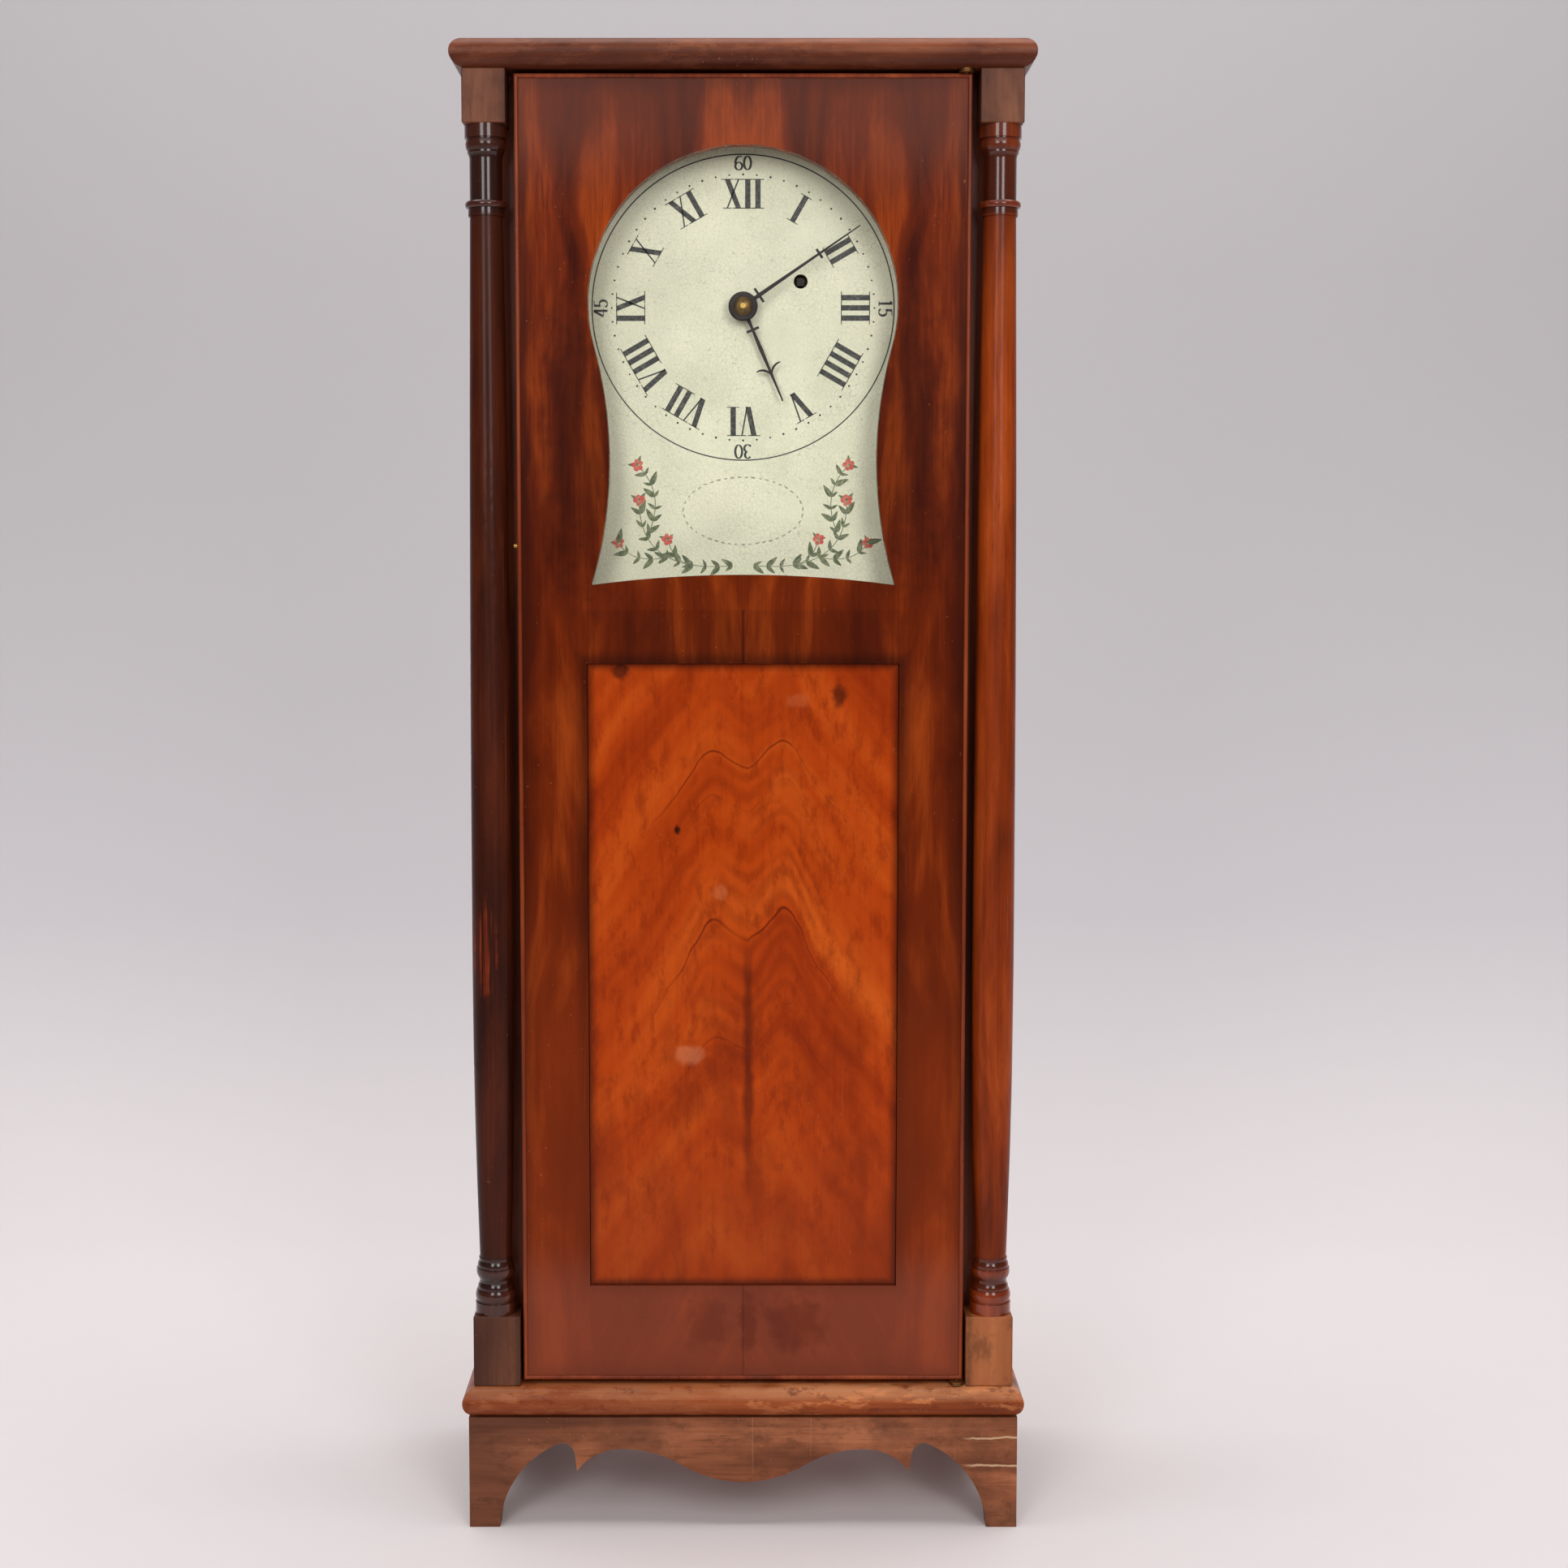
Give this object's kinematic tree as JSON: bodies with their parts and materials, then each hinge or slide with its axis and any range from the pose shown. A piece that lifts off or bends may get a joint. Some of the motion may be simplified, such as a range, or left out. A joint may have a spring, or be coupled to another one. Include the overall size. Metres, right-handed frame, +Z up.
{
  "type": "shelf clock",
  "caption": "Tall wooden shelf clock: weight-driven pendulum movement behind a glazed and panelled front door, turned front columns, scalloped bracket feet.",
  "frame": {"origin": "on the floor under the middle of the case", "axes": "+Z up, front of the clock faces -Y, +X to the right of a person who looks at the dial"},
  "size_m": [0.321, 0.172, 0.838],
  "materials": {
    "mahogany_case": "worn shellac",
    "mahogany_feet": "worn shellac",
    "mahogany_column": "polished shellac",
    "mahogany_door": "polished veneer",
    "mahogany_bead": "polished shellac",
    "figured_panel": "polished figured veneer",
    "pine": "bare aged softwood",
    "iron_screw": "dark oxidised iron",
    "brass": "dull aged",
    "steel": "bright worn",
    "bob_brass": "burnished",
    "dark_hand": "satin black",
    "painted_dial": "aged oil paint",
    "glass": "old clear sheet",
    "weight_iron": "rough cast",
    "gut_line": "twisted gut"
  },
  "bodies": {
    "case": {"top_board": "mahogany_case", "base_board": "mahogany_case", "case_sides": "mahogany_case", "backboard": "pine", "face_frame": "mahogany_case", "front_apron": "mahogany_feet", "side_aprons": "mahogany_feet", "rear_brackets": "pine", "glue_blocks": "pine", "column_left": "mahogany_column", "column_right": "mahogany_column", "column_blocks": "mahogany_column", "case_hinge_leaves": "iron_screw", "seat_board": "pine", "seat_cleats": "pine", "wood_screws": "iron_screw", "front_plate": "brass", "rear_plate": "brass", "plate_pillars": "brass", "taper_pins": "steel", "pendulum_cock": "brass", "cock_screws": "iron_screw", "dial_plate": "painted_dial", "line_anchor": "iron_screw", "weight_line": "gut_line"},
    "door": {"door_stile_left": "mahogany_door", "door_stile_right": "mahogany_door", "door_top_rail": "mahogany_door", "door_middle_rail": "mahogany_door", "door_bottom_rail": "mahogany_door", "dial_surround": "mahogany_door", "door_panel": "figured_panel", "door_bead": "mahogany_bead", "door_glass": "glass", "glazing_strips": "pine", "door_hinge_leaves": "iron_screw", "door_catch": "brass"},
    "centre": {"centre_wheel": "brass", "hand_collet": "brass"},
    "great": {"great_wheel": "brass"},
    "click": {"click": "steel"},
    "third": {"third_wheel": "brass"},
    "escape": {"escape_wheel": "brass"},
    "pallet": {"pallets": "steel", "crutch": "steel"},
    "pendulum": {"suspension_spring": "steel", "pendulum_rod": "steel"},
    "bob": {"pendulum_bob": "bob_brass"},
    "nut": {"rating_nut": "brass"},
    "drum": {"winding_drum": "brass", "winding_arbor": "steel"},
    "weight": {"weight": "weight_iron", "pulley_stirrup": "steel"},
    "pulley": {"pulley_wheel": "brass"},
    "minute": {"cannon_pinion": "steel", "minute_hand": "dark_hand"},
    "minute_work": {"minute_wheel": "brass"},
    "hour": {"hour_wheel": "brass", "hour_hand": "dark_hand"}
  },
  "joints": [
    {"name": "door_swing", "type": "hinge", "parent": "case", "child": "door", "pos_m": [0.1226, -0.0765, 0.45], "axis": [0, 0, 1], "range_deg": [0, 120]},
    {"name": "hand_setting", "type": "hinge", "parent": "case", "child": "minute", "pos_m": [0, 0, 0.6957], "axis": [0, 1, 0], "continuous": true},
    {"name": "minute_wheel_turn", "type": "hinge", "parent": "case", "child": "minute_work", "pos_m": [-0.01088, 0, 0.69063], "axis": [0, 1, 0], "continuous": true},
    {"name": "hour_turn", "type": "hinge", "parent": "case", "child": "hour", "pos_m": [0, 0, 0.6957], "axis": [0, 1, 0], "continuous": true},
    {"name": "train_turn", "type": "hinge", "parent": "case", "child": "centre", "pos_m": [0, 0, 0.6957], "axis": [0, 1, 0], "continuous": true},
    {"name": "great_turn", "type": "hinge", "parent": "case", "child": "great", "pos_m": [0.0325, 0, 0.7105], "axis": [0, 1, 0], "continuous": true},
    {"name": "third_turn", "type": "hinge", "parent": "case", "child": "third", "pos_m": [-0.01262, 0, 0.71372], "axis": [0, 1, 0], "continuous": true},
    {"name": "escape_turn", "type": "hinge", "parent": "case", "child": "escape", "pos_m": [0, 0, 0.72656], "axis": [0, 1, 0], "continuous": true},
    {"name": "click_lift", "type": "hinge", "parent": "great", "child": "click", "pos_m": [0.0515, 0, 0.7105], "axis": [0, 1, 0], "range_deg": [0, 10]},
    {"name": "weight_lift", "type": "slide", "parent": "case", "child": "weight", "axis": [0, 0, 1], "range_m": [0, 0.35], "deforming": ["weight_line"]},
    {"name": "drum_turn", "type": "hinge", "parent": "case", "child": "drum", "pos_m": [0.0325, 0, 0.7105], "axis": [0, 1, 0], "range_deg": [0, 4100]},
    {"name": "pulley_turn", "type": "hinge", "parent": "weight", "child": "pulley", "pos_m": [0, 0, 0.2482], "axis": [0, 1, 0], "range_deg": [-890, 0]},
    {"name": "pendulum_swing", "type": "hinge", "parent": "case", "child": "pendulum", "pos_m": [0, 0, 0.74777], "axis": [0, 1, 0], "range_deg": [-3, 3]},
    {"name": "pallet_rock", "type": "hinge", "parent": "case", "child": "pallet", "pos_m": [0, 0, 0.74777], "axis": [0, 1, 0], "range_deg": [-3, 3]},
    {"name": "bob_raise", "type": "slide", "parent": "pendulum", "child": "bob", "axis": [0, 0, 1], "range_m": [0, 0.006]},
    {"name": "nut_turn", "type": "hinge", "parent": "bob", "child": "nut", "pos_m": [0, 0.0312, 0.26], "axis": [0, 0, 1], "range_deg": [0, 1750]}
  ],
  "couplings": [
    {"joint": "minute_wheel_turn", "follows": "hand_setting", "ratio": -0.33333},
    {"joint": "hour_turn", "follows": "hand_setting", "ratio": 0.083333},
    {"joint": "great_turn", "follows": "train_turn", "ratio": -0.0625},
    {"joint": "third_turn", "follows": "train_turn", "ratio": -10},
    {"joint": "escape_turn", "follows": "train_turn", "ratio": 90},
    {"joint": "drum_turn", "follows": "weight_lift", "rad_per_m": 204.08},
    {"joint": "pulley_turn", "follows": "weight_lift", "rad_per_m": -44.053},
    {"joint": "pallet_rock", "follows": "pendulum_swing", "ratio": 1},
    {"joint": "nut_turn", "follows": "bob_raise", "rad_per_m": 5026.5}
  ]
}
